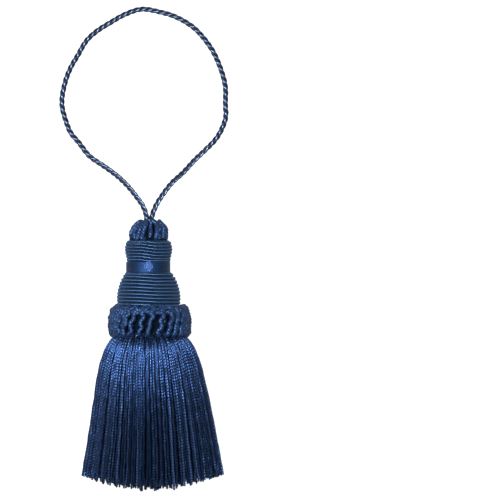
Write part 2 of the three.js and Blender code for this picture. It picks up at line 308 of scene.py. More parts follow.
class YarnMesh:
    """Tubes of yarn and turned surfaces, gathered into one mesh with a map along each yarn."""

    def __init__(self) -> None:
        """Start with nothing in it."""
        self.points: list[Array] = []
        self.shades: list[Array] = []
        self.faces: dict[str, list[Array]] = {"sides": [], "ends": []}
        self.maps: dict[str, list[Array]] = {"sides": [], "ends": []}
        self.count = 0

    def add(self, grid: Array, along: Array, shade: Array | float, bulge: float = 0.0) -> None:
        """Add one closed tube.

        Args:
            grid: Points as stations by corners by 3.
            along: Millimetres along the yarn at each station.
            shade: How light the yarn is, one number or one a station.
            bulge: How far the middle of each end stands out of its rim, in millimetres.
        """
        stations, corners = grid.shape[:2]
        middles = grid[[0, -1]].mean(axis=1)
        out = unit(middles - grid[[1, -2]].mean(axis=1))
        index = np.arange(stations * corners).reshape(stations, corners) + self.count
        near, far = index[:-1], index[1:]
        near_next, far_next = np.roll(near, -1, axis=1), np.roll(far, -1, axis=1)
        sides = np.stack([near, near_next, far_next, far], axis=-1).reshape(-1, 4)
        self.faces["sides"].append(sides)
        u = np.arange(corners + 1) / corners
        left, low = np.meshgrid(u[:-1], along[:-1])
        right, high = np.meshgrid(u[1:], along[1:])
        corner_u = np.stack([left, right, right, left], axis=-1)
        corner_v = np.stack([low, low, high, high], axis=-1)
        self.maps["sides"].append(np.stack([corner_u, corner_v], axis=-1).reshape(-1, 2))
        for end, ring in ((0, index[0]), (1, index[-1][::-1])):
            middle = np.full(corners, self.count + stations * corners + end)
            self.faces["ends"].append(np.stack([middle, np.roll(ring, -1), ring], axis=-1))
            flat = np.stack([np.zeros(3), np.full(3, along[-end])], axis=-1)
            self.maps["ends"].append(np.tile(flat, (corners, 1)))
        self.points += [grid.reshape(-1, 3), middles + bulge * out]
        level = np.broadcast_to(np.asarray(shade, float), (stations,))
        self.shades += [np.repeat(level, corners), level[[0, -1]]]
        self.count += stations * corners + 2

    def make(self, name: str, material: bpy.types.Material) -> bpy.types.Object:
        """Turn it to metres and put it in the scene.

        Args:
            name: The piece's name.
            material: Its finish.

        Returns:
            The new object.
        """
        mesh = bpy.data.meshes.new(name)
        faces = [face for group in self.faces.values() for face in np.concatenate(group).tolist()]
        mesh.from_pydata((np.concatenate(self.points) * MM).tolist(), [], faces)
        maps = np.concatenate([*self.maps["sides"], *self.maps["ends"]]).astype(np.float32)
        mesh.uv_layers.new(name=YARN_MAP).data.foreach_set("uv", maps.ravel())
        shades = np.concatenate(self.shades).astype(np.float32)
        mesh.attributes.new(SHADE, "FLOAT", "POINT").data.foreach_set("value", shades)
        mesh.materials.append(material)
        mesh.shade_smooth()
        mesh.validate()
        made = bpy.data.objects.new(name, mesh)
        bpy.context.scene.collection.objects.link(made)
        return made


def place(piece: bpy.types.Object, slot: str, *nodes: str) -> bpy.types.Object:
    """Let a piece ride on the tassel and stand for model nodes.

    Args:
        piece: The piece, where it belongs.
        slot: The record's material slot; not used.
        nodes: The model's nodes that it stands for, if any.

    Returns:
        The piece.
    """
    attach(piece, BODY)
    if nodes:
        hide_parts(*nodes)
    return piece


# Finishes


def linear(hex_colour: str) -> tuple[float, float, float, float]:
    """Turn an sRGB colour to the linear one that a shader takes, by the sRGB standard's curve.

    Args:
        hex_colour: The colour as hex digits, such as #1f3763.

    Returns:
        Red, green, blue and an opacity of 1.
    """
    parts = [int(hex_colour[start : start + 2], 16) / 255.0 for start in (1, 3, 5)]
    low = [part / 12.92 for part in parts]
    high = [((part + 0.055) / 1.055) ** 2.4 for part in parts]
    red, green, blue = (a if part <= 0.04045 else b for part, a, b in zip(parts, low, high))
    return red, green, blue, 1.0


MATH = "ShaderNodeMath"


def add_node(
    tree: bpy.types.NodeTree, kind: str, inputs: dict | None = None, **settings: object
) -> bpy.types.Node:
    """Add a shader node with its settings and links.

    Args:
        tree: The material's node tree.
        kind: The node's Blender type.
        inputs: For each input, by its name or number, a value, another node's output, or another
            node, which stands for its first output.
        settings: The node's own settings.

    Returns:
        The new node.
    """
    node = tree.nodes.new(kind)
    for name, value in settings.items():
        setattr(node, name, value)
    for key, value in (inputs or {}).items():
        if isinstance(value, bpy.types.Node):
            value = value.outputs[0]
        if isinstance(value, bpy.types.NodeSocket):
            tree.links.new(value, node.inputs[key])
        else:
            node.inputs[key].default_value = value
    return node


@dataclass(frozen=True)
class Yarn:
    """A dyed yarn of fine lustrous filaments.

    The filaments lie along the yarn, so a light gives a gleam that is wide across the yarn and
    short along it. The hollows between plies and wraps are duller than the crowns, and painted
    shade makes them darker.
    """

    name: str
    # Colour at the dark end, which the hollows' painted shade reaches, at the light end of the
    # crowns, and of the gleam
    deep: str
    light: str
    gleam: str
    # Roughness of the crowns, and how much more the hollows have
    roughness: float
    dulling: float = 0.15
    # Plies or wraps round the yarn, and how many turns they make along a millimetre
    lobes: int = 1
    turns_per_mm: float = 0.0
    # How much painted shade darkens the hollows between them
    painted_hollow_shade: float = 0.0
    # Colour of the painted highlight on the crowns of the lightest yarns, where they go beyond the
    # others, and the lightness up to which they don't
    bright: str = ""
    light_until: float = 0.75
    # How much longer across the yarn than along it the gleam is, and whether it is the other way
    stretch: float = 0.0
    crosswise: bool = False
    specular: float = 1.0
    sheen: float = 0.05
    sheen_roughness: float = 0.4
    # Clumps of filaments: their size, height and lightness
    grain_mm: float = 0.5
    grain_relief: float = 0.02
    grain_tone: float = 0.5
    # Viscose and mercerised cotton are both cellulose
    ior: float = 1.53
    # Patches where the dye has taken more or less: their size and lightness
    dye_mm: float = 2.2
    dye_tone: float = 0.5

    def material(self) -> bpy.types.Material:
        """Build the yarn's material, or find it again.

        Returns:
            The material.
        """
        if self.name in bpy.data.materials:
            return bpy.data.materials[self.name]
        made = bpy.data.materials.new(self.name)
        made.use_nodes = True
        tree = made.node_tree
        tree.nodes.clear()
        place_in = add_node(tree, "ShaderNodeTexCoord").outputs["Object"]
        dye, grain = (
            add_node(
                tree,
                "ShaderNodeTexNoise",
                {"Vector": place_in, "Scale": 1.0 / (size * MM), "Detail": detail},
            )
            for size, detail in ((self.dye_mm, 3.0), (self.grain_mm, 1.0))
        )

        # Crowns and hollows of the plies or wraps
        yarn_map = add_node(tree, "ShaderNodeUVMap", uv_map=YARN_MAP)
        around = add_node(tree, "ShaderNodeSeparateXYZ", {0: yarn_map})
        along = around.outputs["Y"]
        lay = {0: along, 1: self.turns_per_mm * FULL_TURN}
        lay = add_node(tree, MATH, lay, operation="MULTIPLY")
        phase = {0: around, 1: self.lobes * FULL_TURN, 2: lay}
        phase = add_node(tree, MATH, phase, operation="MULTIPLY_ADD")
        crown = add_node(tree, MATH, {0: phase}, operation="COSINE")

        # How light the yarn is: its own shade, with painted shade in the hollows, the dye and the
        # filaments
        shade = add_node(tree, "ShaderNodeAttribute", attribute_name=SHADE).outputs["Fac"]
        # Painted shade: the hollows between plies or wraps are made darker
        level = {0: crown, 1: self.painted_hollow_shade, 2: shade}
        level = add_node(tree, MATH, level, operation="MULTIPLY_ADD")
        for pattern, tone in ((dye, self.dye_tone), (grain, self.grain_tone)):
            centred = {0: pattern, 1: 2.0 * tone, 2: -tone}
            centred = add_node(tree, MATH, centred, operation="MULTIPLY_ADD")
            level = add_node(tree, MATH, {0: level, 1: centred}, operation="ADD")
        ramp = add_node(tree, "ShaderNodeValToRGB", {"Fac": level})
        ramp.color_ramp.elements[0].color = linear(self.deep)
        ramp.color_ramp.elements[1].color = linear(self.bright or self.light)
        # Painted highlight: a lighter colour at the top of the ramp for the lightest crowns
        if self.bright:
            ramp.color_ramp.elements.new(self.light_until).color = linear(self.light)
        clamped = add_node(tree, "ShaderNodeClamp", {"Value": level})
        rough = {0: clamped, 1: -self.dulling, 2: self.roughness + self.dulling}
        rough = add_node(tree, MATH, rough, operation="MULTIPLY_ADD")

        height = add_node(tree, MATH, {0: grain, 1: self.grain_relief}, operation="MULTIPLY")
        shader = {
            "Base Color": ramp,
            "Roughness": rough,
            "Normal": add_node(tree, "ShaderNodeBump", {"Height": height, "Distance": MM}),
            "Tangent": add_node(
                tree, "ShaderNodeTangent", direction_type="UV_MAP", uv_map=YARN_MAP
            ),
            "Anisotropic": self.stretch,
            # A quarter turn lays the gleam along the yarn's other direction
            "Anisotropic Rotation": 0.25 if self.crosswise else 0.0,
            "IOR": self.ior,
            "Specular IOR Level": self.specular,
            "Specular Tint": linear(self.gleam),
            "Sheen Weight": self.sheen,
            "Sheen Roughness": self.sheen_roughness,
            "Sheen Tint": linear(self.gleam),
        }
        shader = add_node(tree, "ShaderNodeBsdfPrincipled", shader)
        add_node(tree, "ShaderNodeOutputMaterial", {"Surface": shader})
        return made


# Viscose laid cord: three hard-spun plies, each with a long near-white dash on near-black navy.
LAID_CORD = Yarn(
    name="viscose_laid_cord",
    deep="#02060e",
    light="#091224",
    gleam="#b0cdff",
    roughness=0.27,
    stretch=0.5,
)

# Gimp: viscose thread wrapped closely round a cotton core. The wraps cross the cord, so they
# break its gleam into short dashes.
GIMP_CORD = Yarn(
    name="wrapped_viscose_gimp",
    deep="#040810",
    light="#091226",
    gleam="#6c9fee",
    roughness=0.40,
    dulling=0.28,
    lobes=WRAPS,
    turns_per_mm=WRAPS / WRAP_PITCH,
    # Painted shade darkens the hollows between the wraps
    painted_hollow_shade=0.45,
    grain_relief=0.05,
)

# Mercerised winding thread: hard, round and even, with a narrow grey-blue gleam along each turn.
WINDING_THREAD = Yarn(
    name="mercerised_winding_thread",
    deep="#03070f",
    light="#0b1626",
    gleam="#82b8ff",
    roughness=0.37,
    lobes=2,
    # Painted shade darkens the hollows between the two plies
    painted_hollow_shade=0.10,
    stretch=0.85,
    crosswise=True,
)

# Filament satin: many fine parallel threads that read as one smooth band with fine streaks.
SATIN_BAND = Yarn(
    name="filament_satin",
    deep="#02050a",
    light="#070f1a",
    gleam="#5f9dff",
    roughness=0.46,
    grain_relief=0.006,
    specular=0.55,
)

# The knot's floss is coloured lighter than the other threads, a painted highlight where the knot
# faces the light, and painted shade darkens the hollows between its plies.
HIGHLIT_KNOT_FLOSS = Yarn(
    name="floss_with_painted_highlight",
    deep="#0a1834",
    light="#223e76",
    gleam="#9cc0ff",
    roughness=0.42,
    dulling=0.2,
    lobes=2,
    painted_hollow_shade=0.25,
    stretch=0.3,
    sheen=0.2,
    grain_relief=0.05,
)

# Two-ply viscose fringe yarn: near-black navy, and bright blue where its filaments lie level
# under the lights. Its plies lie steeply across it, so they break its gleam into dots. Painted
# shade darkens the hollows between its plies, and a painted highlight lightens the crowns of
# the ends that carry one.
FRINGE_YARN = Yarn(
    name="two_ply_viscose_fringe",
    deep="#020409",
    light="#0a1220",
    # Colour of the painted highlight on the crowns of the ends that carry one
    bright="#2c4064",
    gleam="#6b9fff",
    roughness=0.14,
    dulling=0.36,
    turns_per_mm=-1.0 / PLY_SPACING,
    painted_hollow_shade=0.50,
    stretch=0.8,
    grain_relief=0.012,
    sheen=0.0,
    dye_tone=0.25,
)

# Cotton padding under the yarn, seen only as dark in the gaps.
COTTON_PADDING = Yarn(
    name="dyed_cotton_padding",
    deep="#03060c",
    light="#070c16",
    gleam="#5a6f9a",
    roughness=0.85,
    dulling=0.0,
    specular=0.05,
)


# The tassel's parts, from the loop down


@dataclass
class HangingLoop:
    """One length of three-ply laid cord, both ends in the head's top. Sizes in millimetres."""

    radius: float = 1.0
    # Width over the plies' hollows and crowns, as a calliper that presses it lightly reads it
    diameter: float = 1.84
    plies: int = 3
    pitch: float = 7.2
    # The plies press into one another, so each is a little fatter than three that only touch
    pressed: float = 1.10
    # How light the first ply is, and how much lighter each next one
    shade: float = 0.35
    lighter: float = 0.12
    step: float = 0.3
    corners: int = 12
    # Height of the cord's middle where it lies on the table
    rest: float = 0.94

    def route(self) -> Array:
        """Lay out the points that the cord passes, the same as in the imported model.

        Returns:
            The points, one a row.
        """
        r = self.rest
        return np.array([
            (-2.3, 48.6, 15.2), (-2.5, 51.4, 15.1), (-3.7, 54.8, 14.1), (-6.2, 58.4, 12.1),
            (-9.5, 62.4, 9.4), (-13.4, 66.1, 6.2), (-18.0, 69.5, 3.1), (-23.8, 73.6, 1.2),
            (-27.4, 78.2, r), (-30.6, 82.1, r), (-32.2, 85.8, r), (-33.9, 92.8, r),
            (-33.0, 99.6, r), (-31.0, 105.5, r), (-27.9, 111.0, r), (-24.8, 116.2, r),
            (-21.2, 119.6, r), (-15.7, 123.1, r), (-10.7, 125.9, r), (-4.5, 127.9, r),
            (1.9, 127.0, r), (8.2, 125.1, r), (14.4, 121.5, r), (18.4, 117.5, r),
            (22.2, 112.1, r), (25.4, 104.5, r), (26.7, 99.1, r), (26.7, 92.9, r),
            (26.8, 87.8, r), (25.3, 83.4, r), (23.0, 79.6, r), (19.3, 75.8, 1.2),
            (15.3, 72.0, 3.1), (11.1, 67.4, 6.2), (7.0, 63.6, 9.3), (3.2, 58.6, 11.8),
            (1.0, 54.9, 13.3), (-0.3, 51.4, 14.0), (-0.6, 48.6, 14.1),
        ])

    def build(self) -> bpy.types.Object:
        """Returns:
            The piece.
        """
        line = smooth_line(self.route(), self.step)
        along = travelled(line)
        side = carried(line, np.array([1.0, 0.0, 0.0]))
        over = np.cross(unit(np.gradient(line, axis=0)), side)
        # Three round plies that touch: the ply's share of the whole cord's radius
        ply_radius = self.radius / (1.0 + 2.0 / math.sqrt(3.0))
        offset = self.radius - ply_radius
        gathered = YarnMesh()
        for ply in range(self.plies):
            angle = -FULL_TURN * along / self.pitch + FULL_TURN * ply / self.plies
            out = np.cos(angle)[:, None] * side + np.sin(angle)[:, None] * over
            grid = tube(line + offset * out, out, self.corners, ply_radius * self.pressed)
            gathered.add(grid, along, self.shade + self.lighter * ply)
        made = gathered.make("cord_loop_laid", LAID_CORD.material())
        piece = place(made, "cord_yarn", "cord_loop")
        return piece


@dataclass(frozen=True)
class WhiteLaminate:
    """Matt white laminate. Its glow stands for the light that washes the table out to white."""

    name: str = "white_laminate"
    colour: str = "#6b6b6b"
    glow: str = "#ffffff"
    glow_strength: float = 0.97
    roughness: float = 0.9
    specular: float = 0.1

    def material(self) -> bpy.types.Material:
        """Build the table's material.

        Returns:
            The material.
        """
        made = bpy.data.materials.new(self.name)
        made.use_nodes = True
        inputs = made.node_tree.nodes["Principled BSDF"].inputs
        inputs["Base Color"].default_value = linear(self.colour)
        inputs["Roughness"].default_value = self.roughness
        inputs["Specular IOR Level"].default_value = self.specular
        inputs["Emission Color"].default_value = linear(self.glow)
        inputs["Emission Strength"].default_value = self.glow_strength
        return made


@dataclass(frozen=True)
class Softbox:
    """One soft light, with its long side across the tassel. Metres and watts."""

    name: str
    spot: tuple[float, float, float]
    # How long it is across the table, and how wide
    size: tuple[float, float]
    power: float
    # Height over the table of what it faces
    aim: float = 0.01

    def hang(self) -> None:
        """Hang it in the scene, facing the tassel's middle."""
        data = bpy.data.lights.new(self.name, "AREA")
        data.shape = "RECTANGLE"
        data.size, data.size_y = self.size
        data.energy = self.power
        made = bpy.data.objects.new(self.name, data)
        made.location = self.spot
        # Its long side lies along X, whichever way it leans
        back = (Vector(self.spot) - Vector((0.0, 0.0, self.aim))).normalized()
        across = Vector((0.0, 1.0, 0.0)).cross(back).normalized()
        turned = Matrix((across, back.cross(across), back)).transposed()
        made.rotation_mode = "QUATERNION"
        made.rotation_quaternion = turned.to_quaternion()
        made.visible_camera = False
        bpy.context.scene.collection.objects.link(made)


@dataclass
class Studio:
    """The white table, the lights and the camera. Sizes in metres unless they say otherwise."""

    # Where the photograph's middle is on the tassel's frame, and how wide its view is, in mm
    middle_x: float = 35.83
    middle_y: float = 38.67
    view_width: float = 185.0
    # A long lens keeps the head and the tips at one scale, as the photograph shows them
    lens: float = 800.0
    sensor: float = 36.0
    clip: tuple[float, float] = (0.05, 50.0)
    # Height of the tassel's middle, where the view has its stated width, in mm
    level: float = 8.0
    table_size: float = 8.0
    # Light from the surroundings level with the table and above it, and from well below, with
    # the slopes between which it changes
    sky: float = 0.10
    under: float = 0.7
    sky_above: float = 0.05
    under_below: float = -0.15
    # The narrow key light hangs over the loop and puts the bright band round the fringe's shoulder
    softboxes: tuple[Softbox, ...] = (
        Softbox("key", spot=(-0.16, 0.105, 0.85), size=(0.7, 0.09), power=27.0),
        Softbox("left", spot=(-0.75, 0.45, 0.35), size=(0.3, 0.3), power=2.6),
        Softbox("right", spot=(0.75, 0.45, 0.32), size=(0.3, 0.3), power=2.2),
    )

    def camera(self) -> None:
        """Set the camera straight above, at the photograph's framing."""
        data = bpy.data.cameras.new("camera")
        data.lens = self.lens
        data.sensor_width = self.sensor
        data.clip_start, data.clip_end = self.clip
        distance = self.view_width * MM * self.lens / self.sensor
        made = bpy.data.objects.new("camera", data)
        made.location = (self.middle_x * MM, self.middle_y * MM, self.level * MM + distance)
        bpy.context.scene.collection.objects.link(made)
        bpy.context.scene.camera = made

    def table(self) -> None:
        """Lay the white table under the tassel."""
        half = self.table_size / 2.0
        mesh = bpy.data.meshes.new("table")
        corners = [(-half, -half, 0.0), (half, -half, 0.0), (half, half, 0.0), (-half, half, 0.0)]
        mesh.from_pydata(corners, [], [(0, 1, 2, 3)])
        mesh.materials.append(WhiteLaminate().material())
        made = bpy.data.objects.new("table", mesh)
        made.location.z = -CLEARANCE * MM
        bpy.context.scene.collection.objects.link(made)
        # The edges of the yarns would mirror the glowing table, and the photographed ones are dark
        made.visible_glossy = False
        made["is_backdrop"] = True

    def surroundings(self) -> None:
        """Light the yarns' undersides and edges as a soft white table would."""
        world = bpy.data.worlds.new("studio")
        world.use_nodes = True
        tree = world.node_tree
        background = tree.nodes["Background"]
        direction = add_node(tree, "ShaderNodeTexCoord").outputs["Generated"]
        height = add_node(tree, "ShaderNodeSeparateXYZ", {0: direction}).outputs["Z"]
        strength = {
            "Value": height,
            "From Min": self.sky_above,
            "From Max": self.under_below,
            "To Min": self.sky,
            "To Max": self.under,
        }
        strength = add_node(tree, "ShaderNodeMapRange", strength).outputs["Result"]
        tree.links.new(strength, background.inputs["Strength"])
        background.inputs["Color"].default_value = linear("#ffffff")
        bpy.context.scene.world = world

    def build(self) -> None:
        """Set the view transform, the camera, the table and the lights."""
        bpy.context.scene.view_settings.view_transform = "Standard"
        bpy.context.scene.view_settings.look = "None"
        self.camera()
        self.table()
        self.surroundings()
        for softbox in self.softboxes:
            softbox.hang()


@dataclass
class WoundBulb:
    """A bulb of the head, closely wound with thread. Sizes in millimetres."""

    name: str
    axis_x: float
    turns: int
    profile: Pairs
    # Share of a turn's rise that it makes at the front, where the winder steps to the next row,
    # and where in the turn that step begins and ends
    stepped: float
    seed: int
    step_from: float = 0.43
    step_to: float = 0.57
    # Half the thread's width over the rise of a turn, so that the turns just press together
    filling: float = 0.505
    # Height of the pressed thread over its width, how deep its ends are tucked, and over how much
    # of a turn each way they sink
    pressed: float = 0.78
    tucked: float = 0.35
    sinking: float = 0.3
    twist_pitch: float = 1.9
    twist_relief: float = 0.05
    # How light the thread is, at least and at most, and how far apart that differs
    shades: tuple[float, float] = (0.25, 0.75)
    shade_spacing: float = 8.0
    points_a_turn: int = 200
    step: float = 0.3
    corners: int = 10

    def line(self, half_width: float) -> Array:
        """Return the thread's middle, from a turn flush with the lower edge to one at the top.

        Args:
            half_width: Half the thread's width.

        Returns:
            Points along the thread.
        """
        low, high = self.profile[-1][0], self.profile[0][0]
        pitch = (high - low) / self.turns
        # The angle starts underneath, so the front is half a turn on
        turn = np.linspace(-1.0, self.turns + 1.0, (self.turns + 2) * self.points_a_turn)
        front = smooth_step(turn % 1.0, self.step_from, self.step_to)
        rise = np.floor(turn) + (1.0 - self.stepped) * (turn % 1.0) + self.stepped * front
        y = np.clip(low + pitch * rise, low + 0.5 * pitch, high - 0.5 * pitch)
        sunk = smooth_step(-turn, -self.sinking, self.sinking)
        sunk = sunk + smooth_step(turn - self.turns, -self.sinking, self.sinking)
        depth = half_width * self.pressed + self.tucked * half_width * sunk
        around = FULL_TURN * turn - math.pi / 2.0
        radius = profile_radius(self.profile, y) - depth
        return evenly(axis_points(self.axis_x, y, radius, around), self.step)

    def build(self) -> bpy.types.Object:
        """Wind the thread from the bulb's lower end to its top.

        Returns:
            The piece.
        """
        half_width = self.filling * (self.profile[0][0] - self.profile[-1][0]) / self.turns
        line = self.line(half_width)
        along = travelled(line)
        turned = FULL_TURN * along / self.twist_pitch
        corner = corner_angles(self.corners)
        angle = corner + turned[:, None]
        oval = 1.0 / np.hypot(np.cos(angle) / self.pressed, np.sin(angle))
        radii = half_width * oval * (1.0 + self.twist_relief * np.cos(2.0 * corner))
        random = np.random.default_rng(self.seed)
        shade = drift(along, self.shade_spacing, random.uniform, self.shades)
        gathered = YarnMesh()
        grid = tube(line, outward(line, self.axis_x), self.corners, radii, turned)
        gathered.add(grid, along, shade)
        made = gathered.make(self.name + "_wound", WINDING_THREAD.material())
        return place(made, "winding_thread", self.name)


@dataclass
class NeckBand:
    """Smooth satin band round the waist. Sizes in millimetres."""

    axis_x: float = -1.78
    top: float = 34.4
    bottom: float = 30.1
    radius: float = 8.2
    # Fine threads across the band's width, the rows of points on each, and how proud it stands
    threads: int = 15
    rows_a_thread: int = 4
    relief: float = 0.035
    shades: tuple[float, float] = (0.2, 0.8)
    # How far the band's edges turn in under the winding, and over what share of its width
    turned_in: float = 0.30
    edge: float = 0.06
    columns: int = 96
    seed: int = 6

    def build(self) -> bpy.types.Object:
        """Turn the band with its fine threads.

        Returns:
            The piece.
        """
        share = np.linspace(0.0, 1.0, self.threads * self.rows_a_thread + 1)
        y = self.bottom + share * (self.top - self.bottom)
        thread = self.relief * (np.abs(np.sin(math.pi * share * self.threads)) - 1.0)
        inside = smooth_step(share, 0.0, self.edge)
        inside = inside * (1.0 - smooth_step(share, 1.0 - self.edge, 1.0))
        radii = self.radius + thread + self.turned_in * (inside - 1.0)
        tones = np.random.default_rng(self.seed).uniform(*self.shades, self.threads + 1)
        gathered = YarnMesh()
        grid = turned_surface(self.axis_x, y, radii, self.columns)
        gathered.add(grid, y, tones[(share * self.threads).astype(int)])
        made = gathered.make("neck_band_satin", SATIN_BAND.material())
        return place(made, "band_satin", "neck_band")


@dataclass
class BandKnot:
    """The thread's small flat knot on the front of the band. Sizes in millimetres."""

    middle: tuple[float, float, float] = (-1.6, 32.6, 22.75)
    # Ring that the thread weaves about: times round it, scallops, radius and swing
    leads: int = 3
    bights: int = 4
    ring: float = 0.80
    swing: float = 0.54
    # How much longer than wide the knot is, how far the thread weaves, and how domed it is
    long: float = 1.22
    weave: float = 0.16
    dome: float = 0.55
    # The thread's radius, its plies' relief as a share of that, and their pitch
    thread: float = 0.37
    relief: float = 0.10
    twist_pitch: float = 2.2
    shades: tuple[float, float] = (0.2, 0.9)
    shade_spacing: float = 1.0
    # Which way the thread's first corner faces where it starts
    start_side: tuple[float, float, float] = (0.3, 0.2, 1.0)
    points: int = 480
    step: float = 0.14
    corners: int = 10
    seed: int = 9

    def build(self) -> bpy.types.Object:
        """Weave the thread round and round into a small domed button.

        Returns:
            The piece.
        """
        turn = np.linspace(0.0, FULL_TURN * self.leads, self.points)
        scallop = self.bights * turn / self.leads
        out = self.ring + self.swing * np.cos(scallop)
        rise = self.dome * (1.0 - (out / (self.ring + self.swing)) ** 2)
        rise = rise + self.weave * np.sin(scallop * self.leads)
        x, y = out * np.cos(turn), self.long * out * np.sin(turn)
        line = evenly(np.array(self.middle) + np.stack([x, y, rise], axis=1), self.step)
        along = travelled(line)
        side = carried(line, np.array(self.start_side))
        radii = self.thread * (1.0 + self.relief * np.cos(2.0 * corner_angles(self.corners)))
        turned = FULL_TURN * along / self.twist_pitch
        random = np.random.default_rng(self.seed)
        shade = drift(along, self.shade_spacing, random.uniform, self.shades)
        gathered = YarnMesh()
        gathered.add(tube(line, side, self.corners, radii, turned), along, shade)
        made = gathered.make("band_knot_tied", HIGHLIT_KNOT_FLOSS.material())
        return place(made, "knot_yarn", "band_knot")


@dataclass
class GimpRuche:
    """Gimp cord laid up and down round the head into upright ridges with hairpin ends, in mm."""

    name: str
    node: str
    slot: str
    axis_x: float
    # Angle of each ridge in degrees from straight up, towards +X, and how far it is sunk in
    ridges: Pairs
    profile: Pairs
    # Where along the axis the ridges start and end
    low: float
    high: float
    # How far the hairpins reach past the ridges at the top, and how far in at the bottom
    crest: float
    tuck: float
    # Slant of the ridges, in radians a millimetre
    lean: float
    seed: int
    cord_radius: float = 0.77
    # Knots of the line up one ridge
    rows: int = 5
    # How far the wraps stand out of their middle height
    wrap_height: float = 0.13
    # How far the ridges stray sideways and in and out, and how far in they all lie
    stray: float = 0.24
    uneven: float = 0.20
    sunk_all: float = 0.0
    # How far the ridges snake sideways, and how long one wave of that is
    snake: float = 0.0
    snake_pitch: float = 3.6
    # How much the lower and the upper ends of the ridges differ in height
    low_stray: float = 0.2
    high_stray: float = 0.35
    # How much the top hairpins differ in height, how far in they may lie, how far below the
    # ridges the bottom ones are, and how much all differ in angle
    crest_stray: float = 0.28
    crest_depth: float = 0.7
    below: float = 0.3
    turn_stray: float = 0.03
    # How much the cord swells, how light it is, and how far apart both differ
    swelling: float = 0.06
    shades: tuple[float, float] = (0.2, 0.7)
    spacing: float = 2.0
    # How much the wraps' first corner faces along the head, so that it does so in a hairpin too
    facing: float = 3.0
    step: float = 0.2
    corners: int = 12

    def radius_at(self, y: Array) -> Array:
        """Return how far the cord's middle is from the axis at a place along it."""
        return profile_radius(self.profile, y) - self.cord_radius - self.sunk_all

    def hairpin(self, angle: float, at_top: bool, random: np.random.Generator) -> Array:
        """Return the one point where the cord turns back between two ridges.

        Args:
            angle: Middle of the two ridges, in degrees from straight up.
            at_top: Whether it turns at the top, where it stands free, or underneath.
            random: Source of its own small differences.

        Returns:
            The point, as one row.
        """
        middle = (self.low + self.high) / 2.0
        y = self.high + self.crest + random.normal(0.0, self.crest_stray)
        inward = random.uniform(0.0, self.crest_depth)
        if not at_top:
            y = self.low - self.below
            inward = self.tuck
        slant = self.lean * (y - middle) + random.normal(0.0, self.turn_stray)
        around = np.array([math.radians(90.0 - angle) - slant])
        radius = self.radius_at(np.array([y])) - inward
        return axis_points(self.axis_x, np.array([y]), radius, around)

    def knots(self) -> Array:
        """Lay the line of the cord out, up one ridge and down the next.

        Returns:
            The points that the cord passes, the first one again at the end.
        """
        random = np.random.default_rng(self.seed)
        middle = (self.low + self.high) / 2.0
        points = []
        following = [angle for angle, _ in self.ridges[1:]] + [self.ridges[0][0] + 360.0]
        for index, (angle, sunk) in enumerate(self.ridges):
            rising = index % 2 == 0
            low = self.low + random.normal(0.0, self.low_stray)
            y = np.linspace(low, self.high + random.normal(0.0, self.high_stray), self.rows)
            y = y if rising else y[::-1]
            around = math.radians(90.0 - angle) - self.lean * (y - middle)
            around = around + random.normal(0.0, self.stray, self.rows) / self.radius_at(y)
            phase = FULL_TURN * (y / self.snake_pitch + random.random())
            around = around + self.snake * np.sin(phase) / self.radius_at(y)
            radius = self.radius_at(y) - sunk + random.normal(0.0, self.uneven, self.rows)
            points.append(axis_points(self.axis_x, y, radius, around))
            points.append(self.hairpin((angle + following[index]) / 2.0, rising, random))
        knots = np.concatenate(points)
        knots[:, 2] = np.maximum(knots[:, 2], self.cord_radius)
        return np.concatenate([knots, knots[:1]])

    def build(self) -> bpy.types.Object:
        """Lay the cord.

        Returns:
            The piece.
        """
        line = smooth_line(self.knots(), self.step)
        along = travelled(line)
        turn = FULL_TURN * along[:, None] / WRAP_PITCH + corner_angles(self.corners)
        wraps = self.wrap_height * grooved(WRAPS * turn / 2.0)
        random = np.random.default_rng(self.seed + 1)
        swell = drift(along, self.spacing, random.normal, (0.0, self.swelling))
        shade = drift(along, self.spacing, random.uniform, self.shades)
        radii = self.cord_radius * (1.0 + swell)[:, None] + wraps
        out = outward(line, self.axis_x, self.facing)
        grid = tube(line, out, self.corners, radii)
        # What bears on the table is pressed flat
        grid[..., 2] = np.maximum(grid[..., 2], CLEARANCE)
        gathered = YarnMesh()
        gathered.add(grid, along, shade)
        return place(gathered.make(self.name, GIMP_CORD.material()), self.slot, self.node)


def round_ridges(front: Pairs, count: int) -> Pairs:
    """Add the ridges that the photograph doesn't show to those that it does.

    Args:
        front: The ridges at the front, each as its angle from straight up and its depth, rising.
        count: How many ridges there are in all, an even number.

    Returns:
        Every ridge; those added are evenly apart and not sunk in.
    """
    hidden = count - len(front)
    turn = 360.0 - (front[-1][0] - front[0][0])
    behind = front[-1][0] + turn * (np.arange(hidden) + 1.0) / (hidden + 1.0)
    return (*front, *((float(angle), 0.0) for angle in behind))


class StrandDetail(Enum):
    """How finely a fringe end is made: the corners of each ring, and the rings a millimetre."""

    FRONT = (6, 5.5)
    BACK = (6, 3.0)
    UNDER = (5, 1.2)
    INNER = (4, 0.5)

    def __init__(self, corners: int, rings: float) -> None:
        """Give the option's two numbers their names."""
        self.corners = corners
        self.rings = rings


@dataclass(frozen=True)
class FringeLayer:
    """One layer of fringe ends round the skirt, or the front or back half of one."""

    name: str
    # Its size as a share of the skirt's, and its number of ends
    scale: float
    count: int
    detail: StrandDetail
    # How far its lowest ends lie over the table, and how much shorter it is than the outermost
    # layer, in millimetres, and how much painted shade darkens it, as it lies under the outer
    # layers
    lift: float = 0.0
    shorter: float = 0.0
    painted_shade: float = 0.0

    def span(self) -> tuple[float, float]:
        """Return the angles that it starts at and reaches, 0 at +X and a quarter at the top."""
        start = math.pi if self.detail is StrandDetail.BACK else 0.0
        return start, math.pi if self.detail is StrandDetail.FRONT else FULL_TURN

    def plied(self) -> bool:
        """Return whether its ends show their two plies."""
        return self.detail in (StrandDetail.FRONT, StrandDetail.BACK)


